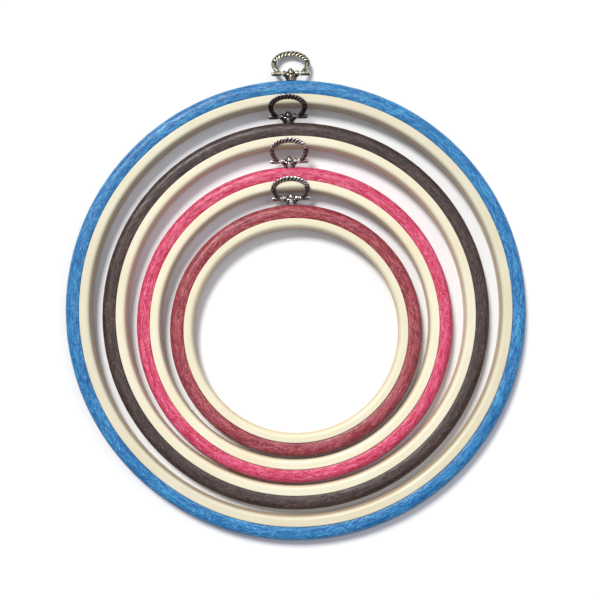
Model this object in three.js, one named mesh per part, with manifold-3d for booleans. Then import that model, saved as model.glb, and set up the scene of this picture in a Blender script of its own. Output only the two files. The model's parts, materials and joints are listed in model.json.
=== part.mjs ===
// A nested set of four round embroidery hoops. Each hoop is a soft vinyl outer ring over a rigid
// plastic inner ring, with a metal hanger screwed to the outer ring. The hoops lie flat, one inside
// the next, with their hangers all on the +Y side. Units are millimetres and +Z is up.
import * as THREE from 'three';
import { mergeVertices } from 'three/addons/utils/BufferGeometryUtils.js';
import Module from 'manifold-3d';

const wasm = await Module();
wasm.setup();

// --- Driving dimensions -----------------------------------------------------------------------

// One entry per hoop, from the largest to the smallest: the outer ring's outer radius, the radius
// where outer and inner ring meet, the inner ring's clear radius, the hoop's centre, the angle that
// its hanger is turned from +Y, how deep its hanger is seated in the outer ring, and how far its
// bail is tilted up from level.
const HOOPS = [
  { name: 'blue', outer: 115.0, seam: 107.4, bore: 102.4, centre: [0, 0],
    turn: 1.2, seat: 0.8, tilt: -18, vinyl: 0x4682be, rigid: 0xe7e3cb, metal: 0x8a8474 },
  { name: 'brown', outer: 96.7, seam: 89.25, bore: 84.5, centre: [0, -2.8],
    turn: 2.2, seat: 1.15, tilt: 50, vinyl: 0x554d4a, rigid: 0xfaf2db, metal: 0x4c484a },
  { name: 'pink', outer: 79.0, seam: 71.85, bore: 67.1, centre: [-0.5, -7.2],
    turn: 1.9, seat: 1.3, tilt: 42.5, vinyl: 0xeb557a, rigid: 0xfff9dd, metal: 0x96807a },
  { name: 'dark_red', outer: 63.0, seam: 55.7, bore: 51.4, centre: [0.1, -10.1],
    turn: 2.2, seat: 0.8, tilt: 46.5, vinyl: 0xaf525d, rigid: 0xf3f2d1, metal: 0x5c5854 },
];

const RING_SEGMENTS = 48;
const ROUND_SEGMENTS = 12;
const CLEARANCE = 0.3;

// Outer ring section.
const VINYL_HEIGHT = 8.6;
const VINYL_EDGE = 0.5;
const VINYL_SHOULDER = 0.9;
const VINYL_FOOT_RUN = 2.4;
const GROOVE_DEPTH = 0.4;
const GROOVE_LOW = 2.9;
const GROOVE_HIGH = 5.9;
const GROOVE_SLOPE = 0.3;

// Inner ring section.
const RIGID_HEIGHT = 8.8;
const RIGID_ROUNDING = 0.7;
const RIGID_INNER_ROUNDING = 1.8;
const RIGID_EDGE = 0.4;
const RIB_HEIGHT = 0.3;

// Hanger. Its own frame has the pin along X through the origin and the hoop on the -Y side.
const PIN_HEIGHT = 5.8;
const SEAT_REACH = 3.9;
const PIN_RADIUS = 0.5;
const PIN_LENGTH = 19.0;
const BARREL_RADIUS = 1.25;
const BARREL_START = 4.5;
const BARREL_END = 9.8;
const KNUCKLE_HALF = BARREL_START - CLEARANCE;
const DOME_RADIUS = 1.75;
const DOME_TIP = 2.8;
const DOME_FOOT = -3.1;

const BAIL_HALF_WIDTH = 9.8;
const BAIL_REACH = 13.4;
const BAIL_WIDEST = 5.7;
const BAIL_SHANK_DROP = 9.5;
const BAIL_BAND = 2.45;
const BAIL_CROWN = 2.7;
const BAIL_THICKNESS = 1.4;
const BAIL_BEVEL = 0.3;
const BAIL_WEB_INNER = 4.8;
const BAIL_WEB_DROP = 5.2;

const BOWL_RADIUS = 3.7;
const BOWL_MOUTH = -0.6;
const BOWL_WAIST = -1.5;
const FOOT_RADIUS = 2.5;
const FOOT_NECK = -2.8;
const POST_FLATNESS = 0.6;

const SPOT_FACE_RADIUS = 2.9;
const SCREW_RADIUS = 0.8;
const SCREW_GRIP = 1.8;
const HEAD_RADIUS = 1.5;
const HEAD_THICKNESS = 1.2;
const HEAD_SINK = 0.4;
const SLOT_WIDTH = 0.5;
const SLOT_DEPTH = 0.5;

// --- Solids -----------------------------------------------------------------------------------

function toSolid(geometry) {
  const bare = geometry.clone();
  bare.deleteAttribute('normal');
  bare.deleteAttribute('uv');
  const merged = mergeVertices(bare, 1e-4);
  const vertProperties = new Float32Array(merged.attributes.position.array);
  const triVerts = new Uint32Array(merged.index.array);
  return new wasm.Manifold(new wasm.Mesh({ numProp: 3, vertProperties, triVerts }));
}

function toGeometry(solid) {
  const mesh = solid.getMesh();
  const geometry = new THREE.BufferGeometry();
  geometry.setAttribute('position', new THREE.BufferAttribute(mesh.vertProperties, 3));
  geometry.setIndex(new THREE.BufferAttribute(mesh.triVerts, 1));
  geometry.computeVertexNormals();
  return geometry;
}

// A round bar along Y, from y = start to y = end.
function barAlongY(radius, start, end, segments = ROUND_SEGMENTS) {
  const bar = new THREE.CylinderGeometry(radius, radius, end - start, segments);
  bar.translate(0, (start + end) / 2, 0);
  return bar;
}

// A round bar along X, from x = start to x = end.
function barAlongX(radius, start, end, segments = ROUND_SEGMENTS) {
  return barAlongY(radius, -end, -start, segments).rotateZ(Math.PI / 2);
}

// A solid turned about Y from [radius, y] points that start and end on the axis.
function turnedAboutY(profile) {
  return new THREE.LatheGeometry(profile.map(([radius, y]) => new THREE.Vector2(radius, y)), 16);
}

// A ring swept round +Z from a closed section of [radius, z] points.
function sweptRing(section) {
  const points = section.map(([radius, z]) => new THREE.Vector2(radius, z));
  points.push(points[0].clone());
  return new THREE.LatheGeometry(points, RING_SEGMENTS).rotateX(Math.PI / 2);
}

// Points of an elliptical arc, with both ends, for angles in degrees.
function arc(centreX, centreY, radiusX, radiusY, from, to, steps) {
  return Array.from({ length: steps + 1 }, (_, i) => {
    const angle = THREE.MathUtils.degToRad(from + ((to - from) * i) / steps);
    return [centreX + radiusX * Math.cos(angle), centreY + radiusY * Math.sin(angle)];
  });
}

function material(color, roughness, metalness) {
  return new THREE.MeshStandardMaterial({ color, roughness, metalness });
}

function node(name, geometry, look) {
  const mesh = new THREE.Mesh(geometry, look);
  mesh.name = name;
  return mesh;
}

// --- Rings ------------------------------------------------------------------------------------

// The vinyl band: flat underneath, domed outside and on top, with a snap groove in its inner wall.
function outerRingSection(hoop) {
  const middle = VINYL_HEIGHT / 2;
  const crown = (hoop.seam + hoop.outer) / 2;
  const half = (hoop.outer - hoop.seam) / 2;
  const wallTop = VINYL_HEIGHT - VINYL_SHOULDER;
  return [
    [hoop.seam, VINYL_EDGE],
    [hoop.seam + VINYL_EDGE, 0],
    ...arc(hoop.outer - VINYL_FOOT_RUN, middle, VINYL_FOOT_RUN, middle, -90, 0, 3),
    ...arc(crown, middle, half, middle, 25, 90, 3),
    ...arc(crown, wallTop, half, VINYL_SHOULDER, 130, 180, 2),
    [hoop.seam, GROOVE_HIGH],
    [hoop.seam + GROOVE_DEPTH, GROOVE_HIGH - GROOVE_SLOPE],
    [hoop.seam + GROOVE_DEPTH, GROOVE_LOW + GROOVE_SLOPE],
    [hoop.seam, GROOVE_LOW],
  ];
}

// The rigid ring: rounded on both top edges, with a snap rib that faces the groove.
function innerRingSection(hoop) {
  const wall = hoop.seam - CLEARANCE - RIB_HEIGHT;
  const outerTop = RIGID_HEIGHT - RIGID_ROUNDING;
  const inward = RIGID_INNER_ROUNDING;
  return [
    [hoop.bore, RIGID_EDGE],
    [hoop.bore + RIGID_EDGE, 0],
    [wall - RIGID_EDGE, 0],
    [wall, RIGID_EDGE],
    [wall, GROOVE_LOW + CLEARANCE],
    [wall + RIB_HEIGHT, GROOVE_LOW + 2 * CLEARANCE],
    [wall + RIB_HEIGHT, GROOVE_HIGH - 2 * CLEARANCE],
    [wall, GROOVE_HIGH - CLEARANCE],
    ...arc(wall - RIGID_ROUNDING, outerTop, RIGID_ROUNDING, RIGID_ROUNDING, 0, 90, 1),
    ...arc(hoop.bore + inward, RIGID_HEIGHT - inward, inward, inward, 90, 180, 3),
  ];
}

// How far the pin's axis stands out from the ring's outer edge.
function standoff(hoop) {
  return SEAT_REACH - hoop.seat;
}

// Where the screw head's face lies in the hanger's frame, just inside the ring's inner wall.
function headFace(hoop) {
  return hoop.seam - hoop.outer - standoff(hoop) + HEAD_SINK;
}

// Brings a geometry from the hanger's frame to the hoop's own frame.
function hangerToHoop(geometry, hoop) {
  geometry.translate(0, hoop.outer + standoff(hoop), PIN_HEIGHT);
  return geometry.rotateZ(THREE.MathUtils.degToRad(hoop.turn));
}

function outerRing(hoop) {
  const sinkFloor = headFace(hoop) + HEAD_THICKNESS + CLEARANCE;
  const past = 4;
  const cuts = [
    barAlongY(SPOT_FACE_RADIUS, -SEAT_REACH, past - SEAT_REACH, 16),
    barAlongY(SCREW_RADIUS + CLEARANCE, sinkFloor - past, past - SEAT_REACH),
    barAlongY(HEAD_RADIUS + CLEARANCE, sinkFloor - past, sinkFloor),
  ];
  let ring = toSolid(sweptRing(outerRingSection(hoop)));
  for (const cut of cuts) ring = ring.subtract(toSolid(hangerToHoop(cut, hoop)));
  return toGeometry(ring);
}

// --- Hanger -----------------------------------------------------------------------------------

// A foot that opens into a flattened bowl under the knuckle, with a pointed dome round the pin.
function hangerPost() {
  const footFace = CLEARANCE - SEAT_REACH;
  const rise = BOWL_WAIST - FOOT_NECK;
  const profile = [
    [0, footFace],
    [FOOT_RADIUS, footFace],
    ...arc(FOOT_RADIUS, BOWL_WAIST, BOWL_RADIUS - FOOT_RADIUS, rise, -90, 0, 3),
    [BOWL_RADIUS * 0.8, BOWL_MOUTH],
    [0, BOWL_MOUTH],
  ];
  const bowl = turnedAboutY(profile).scale(1, 1, POST_FLATNESS);
  const dome = turnedAboutY([
    [0, DOME_FOOT],
    [DOME_RADIUS, DOME_FOOT],
    ...arc(0, 0, DOME_RADIUS, DOME_TIP, 0, 90, 5),
  ]);
  const gripEnd = footFace + SCREW_GRIP + CLEARANCE;
  return toGeometry(
    toSolid(bowl)
      .add(toSolid(barAlongX(BARREL_RADIUS, -KNUCKLE_HALF, KNUCKLE_HALF)))
      .add(toSolid(dome))
      .subtract(toSolid(barAlongX(PIN_RADIUS + CLEARANCE, -PIN_LENGTH, PIN_LENGTH)))
      .subtract(toSolid(barAlongY(SCREW_RADIUS + CLEARANCE, footFace - 1, gripEnd))),
  );
}

// Half of the bail's outline, on the +X side: outside curve upwards, then inside curve downwards.
function bailOutline() {
  const rise = BAIL_REACH - BAIL_WIDEST;
  const innerWidth = BAIL_HALF_WIDTH - BAIL_BAND;
  const outsideFoot = THREE.MathUtils.radToDeg(Math.asin(BAIL_WIDEST / BAIL_SHANK_DROP));
  const insideFoot = THREE.MathUtils.radToDeg(Math.acos(BAIL_WEB_INNER / innerWidth));
  const outside = [
    ...arc(0, BAIL_WIDEST, BAIL_HALF_WIDTH, BAIL_SHANK_DROP, -outsideFoot, -12, 3),
    ...arc(0, BAIL_WIDEST, BAIL_HALF_WIDTH, rise, 0, 90, 7),
  ];
  const inside = [
    ...arc(0, BAIL_WIDEST, innerWidth, rise - BAIL_CROWN, 90, 0, 6),
    ...arc(0, BAIL_WIDEST, innerWidth, BAIL_WEB_DROP, -18, -insideFoot, 2),
    [BAIL_WEB_INNER, 0],
  ];
  return { outside, inside };
}

// The bail's outline runs round as one C, open only between its two barrels.
function bailShape() {
  const { outside, inside } = bailOutline();
  const mirror = ([x, y]) => [-x, y];
  const leftOutside = outside.slice(0, -1).reverse().map(mirror);
  const leftInside = inside.slice(1).reverse().map(mirror);
  const loop = [...outside, ...leftOutside, ...leftInside, ...inside];
  return new THREE.Shape(loop.map(([x, y]) => new THREE.Vector2(x, y)));
}

function hangerBail() {
  const plate = new THREE.ExtrudeGeometry(bailShape(), {
    depth: BAIL_THICKNESS - 2 * BAIL_BEVEL,
    bevelThickness: BAIL_BEVEL,
    bevelSize: BAIL_BEVEL,
    bevelOffset: -BAIL_BEVEL,
    bevelSegments: 1,
    steps: 1,
  });
  plate.translate(0, 0, BAIL_BEVEL - BAIL_THICKNESS / 2);
  let bail = toSolid(plate);
  for (const side of [-1, 1]) {
    const ends = [side * BARREL_START, side * BARREL_END];
    bail = bail.add(toSolid(barAlongX(BARREL_RADIUS, Math.min(...ends), Math.max(...ends))));
  }
  const bore = barAlongX(PIN_RADIUS + CLEARANCE, -PIN_LENGTH, PIN_LENGTH);
  return toGeometry(bail.subtract(toSolid(bore)));
}

function hangerPin() {
  return barAlongX(PIN_RADIUS, -PIN_LENGTH / 2, PIN_LENGTH / 2, 12);
}

// A slotted screw: its head sits in the ring's counterbore and its tip in the post.
function hangerScrew(hoop) {
  const face = headFace(hoop);
  const tip = CLEARANCE - SEAT_REACH + SCREW_GRIP;
  const slot = new THREE.BoxGeometry(2 * HEAD_RADIUS + 1, 2 * SLOT_DEPTH, SLOT_WIDTH);
  slot.translate(0, face, 0);
  return toGeometry(
    toSolid(barAlongY(HEAD_RADIUS, face, face + HEAD_THICKNESS))
      .add(toSolid(barAlongY(SCREW_RADIUS, face, tip)))
      .subtract(toSolid(slot)),
  );
}

// --- Assembly ---------------------------------------------------------------------------------

function hoopGroup(hoop) {
  const vinyl = material(hoop.vinyl, 0.4, 0);
  const rigid = material(hoop.rigid, 0.45, 0);
  const metal = material(hoop.metal, 0.35, 0.9);

  const hanger = new THREE.Group();
  const bail = node(`${hoop.name}_hanger_bail`, hangerBail(), metal);
  bail.rotation.x = THREE.MathUtils.degToRad(hoop.tilt);
  hanger.add(
    node(`${hoop.name}_hanger_post`, hangerPost(), metal),
    bail,
    node(`${hoop.name}_hanger_pin`, hangerPin(), metal),
    node(`${hoop.name}_hanger_screw`, hangerScrew(hoop), metal),
  );
  hanger.position.set(0, hoop.outer + standoff(hoop), PIN_HEIGHT);

  const turned = new THREE.Group();
  turned.rotation.z = THREE.MathUtils.degToRad(hoop.turn);
  turned.add(hanger);

  const group = new THREE.Group();
  group.add(
    node(`${hoop.name}_outer_ring`, outerRing(hoop), vinyl),
    node(`${hoop.name}_inner_ring`, sweptRing(innerRingSection(hoop)), rigid),
    turned,
  );
  group.position.set(hoop.centre[0], hoop.centre[1], 0);
  return group;
}

const group = new THREE.Group();
for (const hoop of HOOPS) group.add(hoopGroup(hoop));

// The origin is on the surface that the set lies on, under the middle of its outline.
const middle = new THREE.Box3().setFromObject(group, true).getCenter(new THREE.Vector3());
group.position.set(-middle.x, -middle.y, 0);

export default group;
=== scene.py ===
"""Looks of a nested set of four embroidery hoops, lying flat and seen from straight above."""
import json
import math
import bmesh
import bpy
import numpy as np
from mathutils import Matrix, Vector, noise


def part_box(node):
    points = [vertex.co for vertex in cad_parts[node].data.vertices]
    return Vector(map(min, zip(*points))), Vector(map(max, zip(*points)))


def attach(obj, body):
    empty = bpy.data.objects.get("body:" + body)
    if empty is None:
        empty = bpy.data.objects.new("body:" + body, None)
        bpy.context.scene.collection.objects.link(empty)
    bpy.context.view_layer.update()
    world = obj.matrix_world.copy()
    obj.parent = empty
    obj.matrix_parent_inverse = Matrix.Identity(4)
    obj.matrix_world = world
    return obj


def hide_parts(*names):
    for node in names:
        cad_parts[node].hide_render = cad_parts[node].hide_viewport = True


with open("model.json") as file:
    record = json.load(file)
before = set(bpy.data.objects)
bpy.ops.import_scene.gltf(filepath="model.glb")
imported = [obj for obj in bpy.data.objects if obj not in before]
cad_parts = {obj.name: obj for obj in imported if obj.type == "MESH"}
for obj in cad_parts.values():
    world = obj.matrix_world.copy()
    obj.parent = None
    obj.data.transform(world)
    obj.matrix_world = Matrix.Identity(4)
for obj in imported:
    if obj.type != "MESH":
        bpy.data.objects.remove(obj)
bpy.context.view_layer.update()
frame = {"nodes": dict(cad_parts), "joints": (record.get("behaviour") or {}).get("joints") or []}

# --- Driving values, in millimetres and degrees ---------------------------------------------------

# The seam clearance is the gap that the solids keep. The seam shift moves the joint that shows. The
# snap rib's foot and face lie inside the groove's edges by the distances given.
MM = 0.001
SEAM_CLEARANCE = 0.3
RING_STEP = 0.6

VINYL_TOP = 8.6
VINYL_FOOT_RUN = 2.4
VINYL_SHOULDER = 0.8
VINYL_EDGE = 0.5
GROOVE_LOW = 2.9
GROOVE_HIGH = 5.9
GROOVE_DEPTH = 0.4
GROOVE_FLANK = 0.2
GRAIN_DEPTH = 0.1
LEAN_RUN = 7.0

RIGID_TOP = 8.75
RIGID_GAP = 0.05
RIGID_ROUNDING = 0.4
SEAM_SHIFT = 0.12
RIGID_INNER_ROUNDING = 1.8
RIGID_EDGE = 0.4
RIB_RISE = 0.05
RIB_FOOT = 0.3
RIB_FACE = 0.6

# The hanger's own frame has the pin along X through the origin and the hoop towards -Y. The band under
# the rope gets wider and thicker over the last tenth of its arc, towards each arm. The rope starts and
# ends at two shares of that arc, and its strands taper over the first and last few steps.
PIN_RADIUS = 0.5
PIN_HALF = 9.95
PIN_HEAD_RADIUS = 0.85
PIN_HEAD_GAP = 0.03
BORE_RADIUS = 0.57
BARREL_RADIUS = 1.05
BARREL_START = 4.5
BARREL_END = 9.45
ARC_CENTRE = 5.7
ARC_HALF_WIDTH = 8.45
ARC_RISE = 6.15
BAND_HALF = 1.35
BAND_SWELL = 0.2
BAND_STEPS = 48
BAND_HALF_THICKNESS = 0.4
ARM_BLEND = 10
ARM_WIDENING = 0.1
ARM_THICKENING = 0.3
ROPE_STRANDS = 2
ROPE_STEPS = 240
ROPE_ENDS = (0.07, 0.93)
ROPE_REACH = 0.8
ROPE_RISE = 0.22
STRAND_RADIUS = 0.54
STRAND_TAPER = 8
FOOT_FACE = -3.6
SEAT_FLOOR = -3.9
BOWL_FLATNESS = 0.36
SPOT_FACE_RADIUS = 2.7
SCREW_RADIUS = 0.8
SCREW_GRIP = 1.8
HEAD_RADIUS = 1.5
HEAD_THICKNESS = 1.2
HEAD_SINK = 0.4
HEAD_CLEARANCE = 0.15
SHANK_CLEARANCE = 0.12
CUTTER_REACH = 4
CAST_VOXEL = 0.1

# Each hoop's look: the bail's tilt from level, the turns of its rope, a seed for its noise, how strong
# its vinyl's dark scratches and light flecks are, and its colours as sRGB values, as they show on a
# surface that faces the light. The edge colour is painted shade for the vinyl's rounded rim and its
# seam. The speck colour is partly the vinyl's own flecks and partly painted glints.
# The cream values differ from hoop to hoop as painted light. The four rings are one plastic.
HOOPS = {
    "blue": {
        "tilt": -18.0, "turns": 5.5, "seed": 3.1, "scratch": 0.7, "fleck": 0.5,
        "dark": (8, 86, 150), "base": (24, 114, 181), "light": (82, 172, 219),
        "edge": (20, 62, 96), "speck": (150, 210, 238),
        "cream": (238, 231, 204), "metal": (230, 224, 199), "patina": (46, 41, 33),
    },
    "brown": {
        "tilt": 50.0, "turns": 6.5, "seed": 9.4, "scratch": 0.7, "fleck": 0.5,
        "dark": (42, 31, 30), "base": (62, 50, 48), "light": (100, 78, 73),
        "edge": (28, 22, 22), "speck": (164, 122, 106),
        "cream": (250, 243, 216), "metal": (150, 140, 138), "patina": (34, 31, 33),
    },
    "pink": {
        "tilt": 42.5, "turns": 6.5, "seed": 17.7, "scratch": 0.8, "fleck": 0.6,
        "dark": (186, 26, 66), "base": (218, 58, 100), "light": (250, 124, 156),
        "edge": (120, 26, 50), "speck": (255, 190, 204),
        # The pink's reddish patina is partly copper and partly a painted reflection of its pink vinyl.
        "cream": (255, 248, 219), "metal": (255, 246, 238), "patina": (62, 34, 33),
    },
    "dark_red": {
        "tilt": 46.5, "turns": 6.5, "seed": 26.2, "scratch": 0.7, "fleck": 0.5,
        "dark": (120, 28, 42), "base": (156, 52, 65), "light": (202, 108, 115),
        "edge": (80, 26, 34), "speck": (238, 164, 160),
        "cream": (250, 243, 213), "metal": (255, 252, 240), "patina": (36, 32, 29),
    },
}

# Streaks run round the hoop. Their length along it, their width across it and their lean, which is how
# far they stray to either side, are in millimetres. The offset keeps one kind unlike another.
VINYL_STREAKS = {
    "broad": {"length": 12.0, "width": 1.6, "offset": 5},
    "fibre": {"length": 4.6, "width": 0.34, "offset": 11, "roughness": 0.6, "lean": 1.1},
    "fine": {"length": 2.4, "width": 0.2, "offset": 23, "detail": 1.0, "lean": 0.9},
    "scratch": {"length": 3.2, "width": 0.3, "offset": 31, "detail": 1.0, "lean": -1.6},
    "glint": {"length": 2.6, "width": 0.3, "offset": 37, "detail": 1.0, "lean": 1.8},
    "speck": {"length": 1.0, "width": 0.34, "offset": 43, "detail": 1.0},
    "crowd": {"length": 8.0, "width": 1.8, "offset": 61, "detail": 1.0},
}
CREAM_STREAKS = {
    "cloud": {"length": 30.0, "width": 6.0, "offset": 50, "detail": 3.0},
    "speck": {"length": 1.4, "width": 0.6, "offset": 57},
}

# How much each kind of streak counts in the vinyl's tone, and the levels of noise between which each
# layer of its colour sets in.
TONE_SHARES = {"fibre": 0.5, "broad": 0.2, "fine": 0.3}
LEVELS = {
    "base": (0.43, 0.5), "light": (0.5, 0.58), "scratch": (0.4, 0.32), "glint": (0.6, 0.7),
    "speck": (0.6, 0.69), "crowd": (0.44, 0.58),
}
# How strongly the crowds of light flecks show. They are partly the vinyl's own and partly painted
# glints.
SPECK_AND_GLINT_STRENGTH = 0.8
# Painted shade on the vinyl's edges: how strong it is at the seam, as a share of its strength at the
# rim, and how strong it is at the rim.
SEAM_PAINTED_SHADE = 0.4
RIM_PAINTED_SHADE = 0.4
VINYL_SPECULAR = 0.35

# The cream plastic's other tones as shares of its red, green and blue: a warmer tone, and a darker,
# warmer painted shade down its wall, with the heights in millimetres between which the shade sets in.
CREAM_WARMTH = (0.975, 0.955, 0.915)
PAINTED_WALL_SHADE = (1.0, 0.9, 0.84)
PAINTED_SHADE_HEIGHTS = (8.2, 6.0)

# The levels of pointiness between which metal goes from patina to bright, and its roughness at both.
POLISHED_EDGES = (0.5, 0.526)
PATINA_ROUGHNESS = 0.5
METAL_ROUGHNESS = 0.2

# Camera and light. The camera hangs over a point given from the largest hoop's centre. Each light's
# share is its part of the brightness, which is how much white light the floor gets.
CAMERA_HEIGHT = 460.0
CAMERA_FOOT = (3.08, -19.70)
LENS = 54.65
SHIFT = (-0.0033, 0.0833)
BRIGHTNESS = 1.48
FLOOR_WHITE = 0.72
LIGHTS = {
    "key": {
        "bearing": 30, "elevation": 53, "spread": 18, "share": 0.64, "tint": (1.0, 1.0, 0.97),
    },
    "left_fill": {
        "bearing": 135, "elevation": 60, "spread": 60, "share": 0.1, "tint": (0.95, 0.96, 1.06),
    },
    "right_fill": {
        "bearing": -65, "elevation": 48, "spread": 60, "share": 0.15, "tint": (0.97, 0.97, 1.06),
    },
}
DOME_SHARE = 0.11
DOME_TINT = (0.94, 0.96, 1.1)
DOME_LOW = {"height": 0.1, "strength": 0.25}
DOME_HIGH = {"height": 0.6, "strength": 1.15}


# --- Places from the frame ------------------------------------------------------------------------

def joint(name):
    """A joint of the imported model."""
    return next(entry for entry in frame["joints"] if entry["name"] == name)


def hoop_measures(hoop):
    """Centre, outer radius, seam radius and clear radius of a hoop, and how far its hanger's pin stands
    out from its edge, in millimetres."""
    low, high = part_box(f"{hoop}_outer_ring")
    centre = np.array([(low.x + high.x) / 2, (low.y + high.y) / 2]) / MM
    outer = (high.x - low.x) / 2 / MM
    ring = frame["nodes"][f"{hoop}_inner_ring"].data
    spots = np.array([vertex.co[:2] for vertex in ring.vertices]) / MM
    radii = np.hypot(*(spots - centre).T)
    pin_place = np.array(joint(f"{hoop}_bail_swing")["pos_m"][:2]) / MM
    return {
        "centre": centre,
        "outer": outer,
        "seam": radii.max() + SEAM_CLEARANCE + SEAM_SHIFT,
        "bore": radii.min(),
        "standoff": math.hypot(*(pin_place - centre)) - outer,
    }


def hanger_matrix(hoop):
    """Brings millimetres in the hanger's frame, pin along X and hoop towards -Y, to the part's frame."""
    swing = joint(f"{hoop}_bail_swing")
    along = Vector(swing["axis"]).normalized()
    up = Vector((0, 0, 1))
    outward = up.cross(along)
    turn = Matrix((along, outward, up)).transposed().to_4x4()
    return Matrix.Translation(swing["pos_m"]) @ turn @ Matrix.Scale(MM, 4)


# --- Mesh tools -----------------------------------------------------------------------------------

def arc(centre_x, centre_y, radius_x, radius_y, start, end, steps):
    """Points of an elliptical arc, with both ends, for angles in degrees."""
    angles = np.radians(np.linspace(start, end, steps + 1))
    return [
        (centre_x + radius_x * math.cos(angle), centre_y + radius_y * math.sin(angle))
        for angle in angles
    ]


def line(start, end, steps):
    """Points from start up to, but without, end."""
    return [
        (start[0] + (end[0] - start[0]) * i / steps, start[1] + (end[1] - start[1]) * i / steps)
        for i in range(steps)
    ]


def grid_faces(rows, columns, close_rows, close_columns):
    """Quads of a grid of rows x columns points, closed round on itself where asked."""
    row_count = rows if close_rows else rows - 1
    column_count = columns if close_columns else columns - 1
    i, j = np.meshgrid(np.arange(row_count), np.arange(column_count), indexing="ij")
    i, j = i.ravel(), j.ravel()
    next_i, next_j = (i + 1) % rows, (j + 1) % columns
    return np.stack(
        [i * columns + j, next_i * columns + j, next_i * columns + next_j, i * columns + next_j], 1
    )


def mesh_from(name, points, faces):
    """A mesh with all its faces turned outward."""
    mesh = bpy.data.meshes.new(name)
    mesh.from_pydata(np.asarray(points, float).tolist(), [], [list(map(int, f)) for f in faces])
    shell = bmesh.new()
    shell.from_mesh(mesh)
    bmesh.ops.recalc_face_normals(shell, faces=shell.faces)
    shell.to_mesh(mesh)
    shell.free()
    return mesh


def new_object(name, mesh):
    obj = bpy.data.objects.new(name, mesh)
    bpy.context.scene.collection.objects.link(obj)
    return obj


def applied(obj):
    """Turns obj's modifiers into its own mesh."""
    bpy.context.view_layer.update()
    evaluated = obj.evaluated_get(bpy.context.evaluated_depsgraph_get())
    mesh = bpy.data.meshes.new_from_object(evaluated)
    obj.modifiers.clear()
    old = obj.data
    obj.data = mesh
    bpy.data.meshes.remove(old)
    return obj


def carve(obj, cutter, operation="DIFFERENCE"):
    """Cuts cutter out of obj, or adds it, and removes cutter."""
    cut = obj.modifiers.new("cut", "BOOLEAN")
    cut.operation = operation
    cut.solver = "MANIFOLD"
    cut.object = cutter
    applied(obj)
    bpy.data.objects.remove(cutter)


def lathe(name, profile, segments, axis="Y"):
    """A closed solid turned about an axis from (radius, position) points, first and last on the axis."""
    inner = profile[1:-1]
    angles = np.arange(segments) * 2 * math.pi / segments
    points = [
        (radius * math.cos(angle), position, radius * math.sin(angle))
        for radius, position in inner
        for angle in angles
    ]
    faces = [list(face) for face in grid_faces(len(inner), segments, False, True)]
    first, last = len(points), len(points) + 1
    points += [(0, profile[0][1], 0), (0, profile[-1][1], 0)]
    top = (len(inner) - 1) * segments
    for i in range(segments):
        after = (i + 1) % segments
        faces.append([first, i, after])
        faces.append([last, top + after, top + i])
    if axis == "X":
        points = [(y, x, z) for x, y, z in points]
    return new_object(name, mesh_from(name, points, faces))


def sweep(name, centres, across, over, sections):
    """A closed tube with rounded ends. Its section at each centre is an ellipse with the half axes
    given as the vectors across and over."""
    angles = np.arange(sections) * 2 * math.pi / sections
    centres, across, over = (np.asarray(v, float) for v in (centres, across, over))
    rings = (
        centres[:, None, :]
        + across[:, None, :] * np.cos(angles)[None, :, None]
        + over[:, None, :] * np.sin(angles)[None, :, None]
    )
    points = list(rings.reshape(-1, 3))
    faces = [list(face) for face in grid_faces(len(centres), sections, False, True)]
    ends = [len(points), len(points) + 1]
    points += [centres[0], centres[-1]]
    last = (len(centres) - 1) * sections
    for i in range(sections):
        after = (i + 1) % sections
        faces.append([ends[0], i, after])
        faces.append([ends[1], last + after, last + i])
    return new_object(name, mesh_from(name, points, faces))


def joined(name, objects):
    """One object from several that overlap."""
    shell = bmesh.new()
    for obj in objects:
        shell.from_mesh(obj.data)
        bpy.data.objects.remove(obj)
    mesh = bpy.data.meshes.new(name)
    shell.to_mesh(mesh)
    shell.free()
    return new_object(name, mesh)


def cast(obj, smoothing=3):
    """Fuses overlapping shells into one skin with softened joins, as a casting has."""
    fuse = obj.modifiers.new("fuse", "REMESH")
    fuse.mode = "VOXEL"
    fuse.voxel_size = CAST_VOXEL
    soften = obj.modifiers.new("soften", "SMOOTH")
    soften.factor = 0.5
    soften.iterations = smoothing
    return applied(obj)


def place(obj, matrix):
    """Moves obj's mesh, not its origin."""
    obj.data.transform(matrix)
    return obj


def shade(obj, crease):
    """Smooth shading, with every edge that bends by more than crease degrees kept sharp."""
    for polygon in obj.data.polygons:
        polygon.use_smooth = True
    obj.data.set_sharp_from_angle(angle=math.radians(crease))


def settle(obj, body, slot, material, *nodes):
    """Gives a finished piece its material and body, and hides the CAD nodes that it stands for. Slot is
    not used.
    """
    obj.data.materials.clear()
    obj.data.materials.append(material)
    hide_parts(*nodes)
    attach(obj, body)


# --- Node tools -----------------------------------------------------------------------------------

def srgb(colour, light=1.0):
    """Linear RGBA from 0-255 sRGB, for a surface that looks that colour under that much light."""
    shares = [value / 255 for value in colour]
    linear = [s / 12.92 if s <= 0.04045 else ((s + 0.055) / 1.055) ** 2.4 for s in shares]
    return (*(value / light for value in linear), 1.0)


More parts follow.
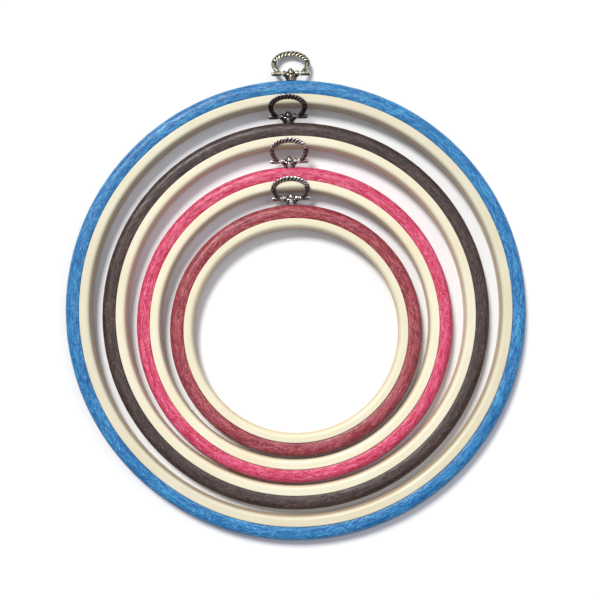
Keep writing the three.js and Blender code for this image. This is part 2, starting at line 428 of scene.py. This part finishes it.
class Paint:
    """A material's node tree, with a short call for each kind of node."""

    def __init__(self, name):
        self.material = bpy.data.materials.new(name)
        self.material.use_nodes = True
        self.tree = self.material.node_tree
        self.shader = self.tree.nodes["Principled BSDF"]

    def feed(self, socket, value):
        if isinstance(value, bpy.types.NodeSocket):
            self.tree.links.new(value, socket)
        else:
            socket.default_value = value

    def node(self, kind, *values):
        made = self.tree.nodes.new(kind)
        for socket, value in zip(made.inputs, values):
            self.feed(socket, value)
        return made

    def math(self, operation, *values):
        made = self.node("ShaderNodeMath", *values)
        made.operation = operation
        return made.outputs[0]

    def vector(self, operation, *values):
        made = self.node("ShaderNodeVectorMath", *values)
        made.operation = operation
        return made.outputs[0]

    def noise(self, spot, w, scale, detail, roughness=0.5):
        made = self.tree.nodes.new("ShaderNodeTexNoise")
        made.noise_dimensions = "4D"
        self.feed(made.inputs["Vector"], spot)
        self.feed(made.inputs["W"], w)
        self.feed(made.inputs["Scale"], scale)
        self.feed(made.inputs["Detail"], detail)
        self.feed(made.inputs["Roughness"], roughness)
        return made.outputs[0]

    def span(self, value, low, high, to_low=0.0, to_high=1.0):
        """Maps value from low..high to to_low..to_high, clamped."""
        made = self.node("ShaderNodeMapRange", value, low, high, to_low, to_high)
        return made.outputs[0]

    def mix(self, share, first, second):
        made = self.tree.nodes.new("ShaderNodeMix")
        made.data_type = "RGBA"
        self.feed(made.inputs[0], share)
        self.feed(made.inputs[6], first)
        self.feed(made.inputs[7], second)
        return made.outputs[2]

    def set(self, **values):
        for name, value in values.items():
            self.feed(self.shader.inputs[name.replace("_", " ")], value)

    def bump(self, height, distance, strength, under=None):
        made = self.tree.nodes.new("ShaderNodeBump")
        self.feed(made.inputs["Height"], height)
        self.feed(made.inputs["Distance"], distance)
        self.feed(made.inputs["Strength"], strength)
        if under is not None:
            self.feed(made.inputs["Normal"], under)
        return made.outputs[0]


def millimetres(paint):
    """The place on the object, in millimetres of the part's frame."""
    spot = paint.node("ShaderNodeTexCoord").outputs["Object"]
    return paint.vector("MULTIPLY", spot, (1 / MM, 1 / MM, 1 / MM))


def hoop_coordinates(paint, measures):
    """Millimetres from the hoop's centre: x, y, height and distance from its axis."""
    middle = (*measures["centre"], 0.0)
    local = paint.vector("SUBTRACT", millimetres(paint), middle)
    parts = paint.node("ShaderNodeSeparateXYZ", local).outputs
    flat = paint.math("ADD", paint.math("POWER", parts[0], 2.0), paint.math("POWER", parts[1], 2.0))
    return parts[0], parts[1], parts[2], paint.math("SQRT", flat)


def streaks(paint, coordinates, seed, length, width, offset, detail=2.0, roughness=0.5, lean=0.0):
    """Noise drawn out round the hoop, about length along it and width across it. With lean, in
    millimetres, the streaks stray that far to either side of the ring's run."""
    x, y, height, radius = coordinates
    seed = seed + offset
    if lean:
        spot = paint.node("ShaderNodeCombineXYZ", x, y, height).outputs[0]
        stray = paint.noise(spot, seed + 0.5, 1 / LEAN_RUN, 1.0)
        radius = paint.math("ADD", radius, paint.span(stray, 0.3, 0.7, -lean, lean))
    along_x = paint.math("DIVIDE", x, length)
    along_y = paint.math("DIVIDE", y, length)
    across = paint.math("DIVIDE", height, width)
    vector = paint.node("ShaderNodeCombineXYZ", along_x, along_y, across).outputs[0]
    w = paint.math("ADD", paint.math("DIVIDE", radius, width), seed)
    return paint.noise(vector, w, 1.0, detail, roughness)


# --- Materials ------------------------------------------------------------------------------------

def edge_painted_shade(paint, radius, measures):
    """How much painted shade darkens the vinyl close to the seam and towards its outer edge."""
    seam, outer = measures["seam"], measures["outer"]
    at_seam = paint.span(radius, seam + 0.6, seam + 0.15)
    at_rim = paint.span(radius, outer - 0.9, outer - 0.1)
    nearer = paint.math("MAXIMUM", paint.math("MULTIPLY", at_seam, SEAM_PAINTED_SHADE), at_rim)
    return paint.math("MULTIPLY", nearer, RIM_PAINTED_SHADE)


def vinyl_material(hoop, measures):
    """Wood-grain vinyl: streaks round the hoop, crossed by scratches and glints that lean to either
    side, with crowds of light flecks, partly the vinyl's own and partly painted glints, and painted
    shade on its edges."""
    look = HOOPS[hoop]
    paint = Paint(f"{hoop}_vinyl")
    coordinates = hoop_coordinates(paint, measures)
    grain = {
        kind: streaks(paint, coordinates, look["seed"], **pattern)
        for kind, pattern in VINYL_STREAKS.items()
    }
    layers = [paint.math("MULTIPLY", grain[kind], share) for kind, share in TONE_SHARES.items()]
    tone = paint.math("ADD", paint.math("ADD", layers[0], layers[1]), layers[2])
    scratch = paint.span(grain["scratch"], *LEVELS["scratch"], 0.0, look["scratch"])
    glint = paint.span(grain["glint"], *LEVELS["glint"], 0.0, look["fleck"])
    speck = paint.span(grain["speck"], *LEVELS["speck"])
    speck_glints = paint.math("MULTIPLY", speck, paint.span(grain["crowd"], *LEVELS["crowd"]))
    tones = ("dark", "base", "light", "speck", "edge")
    dark, base, light, speck_glint_colour, edge = (srgb(look[key], BRIGHTNESS) for key in tones)
    colour = paint.mix(paint.span(tone, *LEVELS["base"]), dark, base)
    colour = paint.mix(paint.span(tone, *LEVELS["light"]), colour, light)
    colour = paint.mix(scratch, colour, dark)
    colour = paint.mix(glint, colour, light)
    # Painted glints: the crowded light flecks are partly the vinyl's own and partly painted highlights.
    colour = paint.mix(paint.math("MULTIPLY", speck_glints, SPECK_AND_GLINT_STRENGTH), colour, speck_glint_colour)
    # Painted shade: the edge colour darkens the vinyl towards the seam and its outer rim.
    colour = paint.mix(edge_painted_shade(paint, coordinates[3], measures), colour, edge)
    sheen = paint.span(grain["fibre"], 0.3, 0.7, 0.5, 0.34)
    normal = paint.bump(grain["fine"], 0.03 * MM, 0.5)
    normal = paint.bump(grain["fibre"], 0.08 * MM, 0.6, normal)
    paint.set(Base_Color=colour, Roughness=sheen, Normal=normal)
    paint.shader.inputs["Specular IOR Level"].default_value = VINYL_SPECULAR
    return paint.material


def cream_material(hoop, measures):
    """Cream plastic, cloudy and faintly specked, with darker, warmer painted shade down its wall."""
    look = HOOPS[hoop]
    paint = Paint(f"{hoop}_cream_plastic")
    coordinates = hoop_coordinates(paint, measures)
    cloud = streaks(paint, coordinates, look["seed"], **CREAM_STREAKS["cloud"])
    speck = streaks(paint, coordinates, look["seed"], **CREAM_STREAKS["speck"])
    # The cream values differ from hoop to hoop as painted light. The four rings are one plastic.
    base = srgb(look["cream"], BRIGHTNESS)
    warm = srgb(np.multiply(look["cream"], CREAM_WARMTH), BRIGHTNESS)
    # The deep tone is the colour of the painted shade on the wall.
    deep = srgb(np.multiply(look["cream"], PAINTED_WALL_SHADE), BRIGHTNESS)
    colour = paint.mix(paint.span(cloud, 0.35, 0.7), base, warm)
    # Painted shade: the ring turns darker and warmer from 8.2 mm down to 6 mm, and stays so below.
    colour = paint.mix(paint.span(coordinates[2], *PAINTED_SHADE_HEIGHTS), colour, deep)
    colour = paint.mix(paint.span(speck, 0.68, 0.8, 0.0, 0.35), colour, warm)
    gloss = paint.span(cloud, 0.3, 0.7, 0.36, 0.5)
    normal = paint.bump(speck, 0.02 * MM, 0.35)
    normal = paint.bump(cloud, 0.15 * MM, 0.4, normal)
    paint.set(Base_Color=colour, Roughness=gloss, Normal=normal)
    return paint.material


def metal_material(hoop, name, polish=0.0):
    """Plated metal with a dark patina in its hollows and bright edges. Polish is how bright all of it
    is at least."""
    look = HOOPS[hoop]
    paint = Paint(name)
    spot = millimetres(paint)
    wear = paint.noise(spot, look["seed"], 1.6, 4.0, 0.6)
    grit = paint.noise(spot, look["seed"] + 3, 9.0, 3.0, 0.6)
    cavity = paint.node("ShaderNodeNewGeometry").outputs["Pointiness"]
    worn = paint.math("ADD", cavity, paint.span(wear, 0.3, 0.7, -0.01, 0.01))
    exposed = paint.math("MAXIMUM", paint.span(worn, *POLISHED_EDGES), polish)
    patina = srgb(look["patina"])
    colour = paint.mix(exposed, patina, srgb(look["metal"]))
    colour = paint.mix(paint.span(grit, 0.55, 0.8, 0.0, 0.4), colour, patina)
    smooth = paint.span(exposed, 0.0, 1.0, PATINA_ROUGHNESS, METAL_ROUGHNESS)
    gloss = paint.math("ADD", smooth, paint.span(grit, 0.3, 0.8, -0.04, 0.1))
    normal = paint.bump(grit, 0.02 * MM, 0.3)
    paint.set(Base_Color=colour, Roughness=gloss, Normal=normal)
    paint.shader.inputs["Metallic"].default_value = 1.0
    return paint.material


# --- Rings ----------------------------------------------------------------------------------------

def ring_points(section, centre, radius):
    """A ring swept from a closed (radius, height) section, in millimetres."""
    count = round(2 * math.pi * radius / RING_STEP)
    angles = np.arange(count) * 2 * math.pi / count
    section = np.asarray(section)
    points = np.empty((count, len(section), 3))
    points[..., 0] = centre[0] + np.outer(np.cos(angles), section[:, 0])
    points[..., 1] = centre[1] + np.outer(np.sin(angles), section[:, 0])
    points[..., 2] = section[None, :, 1]
    return points.reshape(-1, 3), grid_faces(count, len(section), True, True)


def vinyl_section(measures):
    """Flat underneath, domed outside and on top, with a snap groove in the inner wall."""
    seam, outer = measures["seam"], measures["outer"]
    middle = VINYL_TOP / 2
    crown, half = (seam + outer) / 2, (outer - seam) / 2
    foot = outer - VINYL_FOOT_RUN
    deep = seam + GROOVE_DEPTH
    return [
        *arc(seam + VINYL_EDGE, VINYL_EDGE, VINYL_EDGE, VINYL_EDGE, 180, 270, 3)[:-1],
        *line((seam + VINYL_EDGE, 0), (foot, 0), 5),
        *arc(foot, middle, VINYL_FOOT_RUN, middle, -90, 0, 14)[:-1],
        *arc(crown, middle, half, middle, 0, 90, 20)[:-1],
        *arc(crown, VINYL_TOP - VINYL_SHOULDER, half, VINYL_SHOULDER, 90, 180, 14)[:-1],
        *line((seam, VINYL_TOP - VINYL_SHOULDER), (seam, GROOVE_HIGH), 3),
        *line((seam, GROOVE_HIGH), (deep, GROOVE_HIGH - GROOVE_FLANK), 2),
        *line((deep, GROOVE_HIGH - GROOVE_FLANK), (deep, GROOVE_LOW + GROOVE_FLANK), 3),
        *line((deep, GROOVE_LOW + GROOVE_FLANK), (seam, GROOVE_LOW), 2),
        *line((seam, GROOVE_LOW), (seam, VINYL_EDGE), 3),
    ]


def rigid_section(measures):
    """Rounded on all edges, most on the inner top one, with a snap rib on the outer wall."""
    bore, wall = measures["bore"], measures["seam"] - RIGID_GAP
    outer_top = RIGID_TOP - RIGID_ROUNDING
    inward = RIGID_INNER_ROUNDING
    inner_top = RIGID_TOP - inward
    rib = wall + RIB_RISE
    return [
        *arc(bore + RIGID_EDGE, RIGID_EDGE, RIGID_EDGE, RIGID_EDGE, 180, 270, 4)[:-1],
        *line((bore + RIGID_EDGE, 0), (wall - RIGID_EDGE, 0), 4),
        *arc(wall - RIGID_EDGE, RIGID_EDGE, RIGID_EDGE, RIGID_EDGE, 270, 360, 4)[:-1],
        *line((wall, RIGID_EDGE), (wall, GROOVE_LOW + RIB_FOOT), 3),
        *line((wall, GROOVE_LOW + RIB_FOOT), (rib, GROOVE_LOW + RIB_FACE), 2),
        *line((rib, GROOVE_LOW + RIB_FACE), (rib, GROOVE_HIGH - RIB_FACE), 3),
        *line((rib, GROOVE_HIGH - RIB_FACE), (wall, GROOVE_HIGH - RIB_FOOT), 2),
        *line((wall, GROOVE_HIGH - RIB_FOOT), (wall, outer_top), 3),
        *arc(wall - RIGID_ROUNDING, outer_top, RIGID_ROUNDING, RIGID_ROUNDING, 0, 90, 6)[:-1],
        *line((wall - RIGID_ROUNDING, RIGID_TOP), (bore + inward, RIGID_TOP), 6),
        *arc(bore + inward, inner_top, inward, inward, 90, 180, 9)[:-1],
        *line((bore, inner_top), (bore, RIGID_EDGE), 8),
    ]


def unit(value):
    """Value, kept between 0 and 1."""
    return min(1.0, max(0.0, value))


def grain_dent(x, y, radius, height, seed):
    """How far the wood-like grain dips below the surface, from 0 to 1."""
    sway = 1.4 * noise.noise((x / 6, y / 6, seed))
    across = radius - height + sway
    fibre = noise.noise((x / 5, y / 5, across / 0.8 + seed))
    fine = noise.noise((x / 2.2, y / 2.2, across / 0.5 - seed))
    return unit(0.5 - 0.9 * fibre - 0.4 * fine)


def emboss_grain(points, measures, seed):
    """Presses the grain into the visible outside of a vinyl ring."""
    centre, seam = measures["centre"], measures["seam"]
    crown = (seam + measures["outer"]) / 2
    middle = VINYL_TOP / 2
    for point in points:
        x, y = point[0] - centre[0], point[1] - centre[1]
        radius = math.hypot(x, y)
        shown = unit((radius - seam - 0.15) / 0.5) * unit(point[2])
        if shown == 0.0:
            continue
        depth = GRAIN_DEPTH * shown * grain_dent(x, y, radius, point[2], seed)
        outward, upward = radius - crown, point[2] - middle
        pull = depth / math.hypot(outward, upward)
        point[0] -= x / radius * outward * pull
        point[1] -= y / radius * outward * pull
        point[2] -= upward * pull


def head_face(measures):
    """Where the screw head's face lies in the hanger's frame, sunk a little into the inner wall."""
    return measures["seam"] - SEAM_SHIFT - measures["outer"] - measures["standoff"] + HEAD_SINK


def seat_cutter(hoop, measures, matrix):
    """The spot face for the post, the screw's through hole and the counterbore for its head."""
    ledge = head_face(measures) + HEAD_THICKNESS + HEAD_CLEARANCE
    hole, bore = SCREW_RADIUS + SHANK_CLEARANCE, HEAD_RADIUS + HEAD_CLEARANCE
    inside, outside = ledge - CUTTER_REACH, SEAT_FLOOR + CUTTER_REACH
    profile = [
        (0, inside), (bore, inside), (bore, ledge), (hole, ledge), (hole, SEAT_FLOOR),
        (SPOT_FACE_RADIUS, SEAT_FLOOR), (SPOT_FACE_RADIUS, outside), (0, outside),
    ]
    return place(lathe(f"{hoop}_seat_cutter", profile, 64), matrix)


def vinyl_band(hoop, measures, matrix):
    points, faces = ring_points(vinyl_section(measures), measures["centre"], measures["outer"])
    emboss_grain(points, measures, HOOPS[hoop]["seed"])
    band = new_object(f"{hoop}_vinyl_band", mesh_from(f"{hoop}_vinyl_band", points * MM, faces))
    carve(band, seat_cutter(hoop, measures, matrix))
    shade(band, 50)
    settle(band, f"{hoop}_outer", f"{hoop}_vinyl", vinyl_material(hoop, measures), f"{hoop}_outer_ring")


def cream_ring(hoop, measures):
    points, faces = ring_points(rigid_section(measures), measures["centre"], measures["seam"])
    ring = new_object(f"{hoop}_cream_ring", mesh_from(f"{hoop}_cream_ring", points * MM, faces))
    shade(ring, 60)
    settle(ring, f"{hoop}_inner", "cream_plastic", cream_material(hoop, measures), f"{hoop}_inner_ring")


# --- Hangers --------------------------------------------------------------------------------------

def arc_frame(share):
    """Point, outward direction and extra half width on the bail's upper arc, for a share from 0 at its
    right end to 1 at its left."""
    angle = math.pi * share
    point = np.array([ARC_HALF_WIDTH * math.cos(angle), ARC_CENTRE + ARC_RISE * math.sin(angle), 0.0])
    outward = np.array([ARC_RISE * math.cos(angle), ARC_HALF_WIDTH * math.sin(angle), 0.0])
    return point, outward / np.linalg.norm(outward), BAND_SWELL * math.sin(angle)


def bail_band(hoop):
    """The flat band under the rope, which runs on down both arms to the barrels."""
    outside = [(7.3, 0.0), (7.55, 0.7), (8.0, 1.4), (8.75, 2.4), (9.3, 3.5), (9.65, 4.6)]
    inside = [(4.5, 0.0), (4.6, 0.6), (5.1, 1.3), (5.85, 2.3), (6.6, 3.4), (7.05, 4.6)]
    thick = [0.9, 0.8, 0.72, 0.7, 0.7, 0.7]
    centres, across, over = [], [], []
    for (out_x, out_y), (in_x, in_y), half in zip(outside, inside, thick):
        centres.append(((out_x + in_x) / 2, (out_y + in_y) / 2, 0))
        across.append(((out_x - in_x) / 2, (out_y - in_y) / 2, 0))
        over.append((0, 0, half))
    for i in range(BAND_STEPS + 1):
        point, outward, swell = arc_frame(i / BAND_STEPS)
        near_arm = max(0.0, 1 - ARM_BLEND * min(i, BAND_STEPS - i) / BAND_STEPS)
        centres.append(point)
        across.append(outward * (BAND_HALF - ARM_WIDENING + swell + ARM_WIDENING * near_arm))
        over.append((0, 0, BAND_HALF_THICKNESS + ARM_THICKENING * near_arm))
    for i in reversed(range(len(outside))):
        x, y, z = centres[i]
        centres.append((-x, y, z))
        across.append((-across[i][0], across[i][1], 0))
        over.append(over[i])
    return sweep(f"{hoop}_band", centres, across, over, 28)


def rope_strand(hoop, number):
    """One strand of the rope that winds round the bail's upper arc."""
    start, end = ROPE_ENDS
    phase = 2 * math.pi * number / ROPE_STRANDS
    centres = []
    for i in range(ROPE_STEPS + 1):
        point, outward, swell = arc_frame(start + (end - start) * i / ROPE_STEPS)
        angle = phase + 2 * math.pi * HOOPS[hoop]["turns"] * i / ROPE_STEPS
        across = outward * (ROPE_REACH + swell) * math.cos(angle)
        centres.append(point + across + np.array([0, 0, ROPE_RISE * math.sin(angle)]))
    centres = np.array(centres)
    tangents = np.gradient(centres, axis=0)
    tangents /= np.linalg.norm(tangents, axis=1)[:, None]
    over = np.cross(tangents, [0, 0, 1.0])
    over /= np.linalg.norm(over, axis=1)[:, None]
    across = np.cross(tangents, over)
    ends = np.minimum(np.arange(ROPE_STEPS + 1), ROPE_STEPS - np.arange(ROPE_STEPS + 1))
    radius = STRAND_RADIUS * np.sqrt(np.clip(ends / STRAND_TAPER, 0.02, 1.0))[:, None]
    return sweep(f"{hoop}_strand_{number}", centres, across * radius, over * radius, 14)


def barrel(hoop, side):
    radius, start, end = BARREL_RADIUS, BARREL_START, BARREL_END
    profile = [
        (0, start), (radius - 0.15, start), (radius, start + 0.15), (radius, start + 0.5),
        (radius - 0.12, start + 0.65), (radius - 0.12, start + 0.8), (radius, start + 0.95),
        (radius, end - 0.4), (radius - 0.1, end - 0.1), (radius - 0.3, end), (0, end),
    ]
    if side < 0:
        profile = [(r, -x) for r, x in profile]
    return lathe(f"{hoop}_barrel", profile, 40, "X")


def pin_bore(hoop):
    half = PIN_HALF + 3
    profile = [(0, -half), (BORE_RADIUS, -half), (BORE_RADIUS, half), (0, half)]
    return lathe(f"{hoop}_pin_bore", profile, 40, "X")


def bail(hoop, matrix):
    look = HOOPS[hoop]
    parts = [bail_band(hoop), barrel(hoop, 1), barrel(hoop, -1)]
    parts += [rope_strand(hoop, number) for number in range(ROPE_STRANDS)]
    piece = cast(joined(f"{hoop}_bail", parts))
    carve(piece, pin_bore(hoop))
    tilt = Matrix.Rotation(math.radians(look["tilt"]), 4, "X")
    shade(place(piece, matrix @ tilt), 60)
    metal = metal_material(hoop, f"{hoop}_bail_metal")
    settle(piece, f"{hoop}_bail", f"{hoop}_hanger_metal", metal, f"{hoop}_hanger_bail")


def post_parts(hoop):
    """Foot and bowl, the knuckle's two halves with the neck between them, and the pointed dome that
    stands round the pin."""
    bowl = lathe(f"{hoop}_bowl", [
        (0, FOOT_FACE), (2.42, FOOT_FACE), (2.5, FOOT_FACE + 0.1), (2.55, -3.0), (2.9, -2.4),
        (3.35, -1.5), (3.7, -0.9), *arc(3.45, -0.65, 0.28, 0.25, 0, 90, 5), (3.0, -0.5), (2.4, -0.75),
        (0, -0.75),
    ], 56)
    bowl.data.transform(Matrix.Diagonal((1, 1, BOWL_FLATNESS, 1)))
    neck = lathe(f"{hoop}_neck", [(0, -2.5), (0.92, -2.5), (0.92, 2.5), (0, 2.5)], 40, "X")
    knuckles = []
    for side in (-1, 1):
        knuckles.append(lathe(f"{hoop}_knuckle", [
            (0, 2.0 * side), (0.95, 2.02 * side), (1.3, 2.15 * side), (1.42, 2.4 * side),
            (1.46, 2.9 * side), (1.46, 3.5 * side), (1.4, 3.9 * side), (1.2, 4.15 * side),
            (0, 4.2 * side),
        ], 44, "X"))
    dome = lathe(f"{hoop}_dome", [
        (0, FOOT_FACE), (1.5, FOOT_FACE), (1.62, FOOT_FACE + 0.15), (1.62, -3.1), (1.74, -2.8),
        (1.78, -1.7), (1.7, -1.0), (1.48, -0.72), (1.64, -0.4),
        (1.82, 0.1), (1.78, 0.8), (1.56, 1.5), (1.16, 2.1), (0.64, 2.55), (0.22, 2.78), (0, 2.8),
    ], 48)
    return [bowl, neck, *knuckles, dome]


def post(hoop, matrix):
    """The casting, bored for the pin and tapped a little deeper and wider than the screw's shank."""
    piece = cast(joined(f"{hoop}_post", post_parts(hoop)), smoothing=2)
    carve(piece, pin_bore(hoop))
    end = FOOT_FACE + SCREW_GRIP + 0.1
    start, radius = FOOT_FACE - 1, SCREW_RADIUS + 0.05
    tapped = [(0, start), (radius, start), (radius, end), (0, end)]
    carve(piece, lathe(f"{hoop}_tapped_hole", tapped, 40))
    shade(place(piece, matrix), 60)
    metal = metal_material(hoop, f"{hoop}_post_metal")
    settle(piece, f"{hoop}_outer", f"{hoop}_hanger_metal", metal, f"{hoop}_hanger_post")


def pin(hoop, matrix):
    """A pin with a domed head peened at each end."""
    neck = BARREL_END + PIN_HEAD_GAP
    head = arc(neck, 0, PIN_HALF - neck, PIN_HEAD_RADIUS, 90, 0, 6)
    right = [(PIN_RADIUS, neck), *((y, x) for x, y in head)]
    left = [(r, -x) for r, x in reversed(right)]
    piece = lathe(f"{hoop}_pin", [*left, *right], 32, "X")
    shade(place(piece, matrix), 40)
    metal = metal_material(hoop, f"{hoop}_pin_metal", polish=0.8)
    settle(piece, f"{hoop}_outer", "pin_steel", metal, f"{hoop}_hanger_pin")


def thread_shell(hoop, start, end):
    """The screw's threaded shank, with its crest running round as one helix."""
    pitch, crest, steps, sides = 0.4, 0.16, 90, 32
    angles = np.arange(sides) * 2 * math.pi / sides
    points = []
    for y in np.linspace(start, end, steps):
        for angle in angles:
            phase = (y / pitch - angle / (2 * math.pi)) % 1.0
            radius = SCREW_RADIUS - crest * abs(2 * phase - 1)
            points.append((radius * math.cos(angle), y, radius * math.sin(angle)))
    faces = [list(face) for face in grid_faces(steps, sides, False, True)]
    faces.append(list(range(sides)))
    faces.append(list(reversed(range((steps - 1) * sides, steps * sides))))
    return new_object(f"{hoop}_thread", mesh_from(f"{hoop}_thread", points, faces))


def screw(hoop, measures, matrix):
    """A domed head with a slot for the screwdriver, on its threaded shank."""
    face = head_face(measures)
    under = face + HEAD_THICKNESS
    head = lathe(f"{hoop}_screw", [
        (0, face), (1.15, face + 0.03), (1.42, face + 0.18), (HEAD_RADIUS, face + 0.4),
        (HEAD_RADIUS, under - 0.1), (HEAD_RADIUS - 0.1, under), (0, under),
    ], 64)
    carve(head, thread_shell(hoop, under - 0.3, FOOT_FACE + SCREW_GRIP), "UNION")
    long, deep, half = 2.4, 0.5, 0.25
    corners = [
        (x, y, z) for x in (-long, long) for y in (face - deep, face + deep) for z in (-half, half)
    ]
    sides = [(0, 1, 3, 2), (4, 6, 7, 5), (0, 4, 5, 1), (2, 3, 7, 6), (0, 2, 6, 4), (1, 5, 7, 3)]
    carve(head, new_object(f"{hoop}_slot_cutter", mesh_from("slot", corners, sides)))
    shade(place(head, matrix), 35)
    metal = metal_material(hoop, f"{hoop}_screw_metal", polish=0.7)
    settle(head, f"{hoop}_outer", "pin_steel", metal, f"{hoop}_hanger_screw")


# --- Stage ----------------------------------------------------------------------------------------

def floor():
    half, drop = 3.0, -0.0002
    corners = [(-half, -half, drop), (half, -half, drop), (half, half, drop), (-half, half, drop)]
    plane = new_object("floor", mesh_from("floor", corners, [(0, 1, 2, 3)]))
    paint = Paint("floor_paper")
    paint.set(Base_Color=(FLOOR_WHITE, FLOOR_WHITE, FLOOR_WHITE, 1.0), Roughness=0.9)
    paint.shader.inputs["Specular IOR Level"].default_value = 0.1
    plane.data.materials.append(paint.material)


def sun(name, light):
    """A light from a bearing left of +Y. Its share is its part of the brightness on the floor."""
    bearing, elevation = math.radians(light["bearing"]), math.radians(light["elevation"])
    towards = Vector((
        -math.sin(bearing) * math.cos(elevation),
        math.cos(bearing) * math.cos(elevation),
        math.sin(elevation),
    ))
    lamp = bpy.data.lights.new(name, "SUN")
    lamp.energy = light["share"] * BRIGHTNESS * math.pi / math.sin(elevation)
    lamp.angle = math.radians(light["spread"])
    lamp.color = light["tint"]
    lamp_object = bpy.data.objects.new(name, lamp)
    lamp_object.rotation_mode = "QUATERNION"
    lamp_object.rotation_quaternion = towards.to_track_quat("Z", "Y")
    bpy.context.scene.collection.objects.link(lamp_object)


def dome_light():
    """A soft studio dome, dark towards the horizon. Behind the object the camera sees plain white."""
    world = bpy.data.worlds.new("studio")
    world.use_nodes = True
    tree = world.node_tree
    dome = tree.nodes["Background"]
    direction = tree.nodes.new("ShaderNodeTexCoord").outputs["Generated"]
    parts = tree.nodes.new("ShaderNodeSeparateXYZ")
    ramp = tree.nodes.new("ShaderNodeValToRGB")
    for stop, level in zip(ramp.color_ramp.elements, (DOME_LOW, DOME_HIGH)):
        stop.position = level["height"]
        stop.color = (*(level["strength"] * value for value in DOME_TINT), 1)
    tree.links.new(direction, parts.inputs[0])
    tree.links.new(parts.outputs[2], ramp.inputs[0])
    tree.links.new(ramp.outputs[0], dome.inputs["Color"])
    dome.inputs["Strength"].default_value = DOME_SHARE * BRIGHTNESS
    behind = tree.nodes.new("ShaderNodeBackground")
    behind.inputs["Color"].default_value = (1.0, 1.0, 1.0, 1)
    choice = tree.nodes.new("ShaderNodeMixShader")
    tree.links.new(tree.nodes.new("ShaderNodeLightPath").outputs["Is Camera Ray"], choice.inputs[0])
    tree.links.new(dome.outputs[0], choice.inputs[1])
    tree.links.new(behind.outputs[0], choice.inputs[2])
    tree.links.new(choice.outputs[0], tree.nodes["World Output"].inputs["Surface"])
    bpy.context.scene.world = world


def camera():
    lens = bpy.data.cameras.new("camera")
    lens.lens = LENS
    lens.shift_x, lens.shift_y = SHIFT
    lens.clip_start = 0.01
    lens.clip_end = 20.0
    view = bpy.data.objects.new("camera", lens)
    foot = hoop_measures("blue")["centre"] + CAMERA_FOOT
    view.location = (foot[0] * MM, foot[1] * MM, CAMERA_HEIGHT * MM)
    bpy.context.scene.collection.objects.link(view)
    bpy.context.scene.camera = view
    bpy.context.scene.view_settings.view_transform = "Standard"


camera()
for light_name, light in LIGHTS.items():
    sun(light_name, light)
dome_light()
floor()
for hoop_name in HOOPS:
    hoop_size = hoop_measures(hoop_name)
    hanger = hanger_matrix(hoop_name)
    vinyl_band(hoop_name, hoop_size, hanger)
    cream_ring(hoop_name, hoop_size)
    bail(hoop_name, hanger)
    post(hoop_name, hanger)
    pin(hoop_name, hanger)
    screw(hoop_name, hoop_size, hanger)
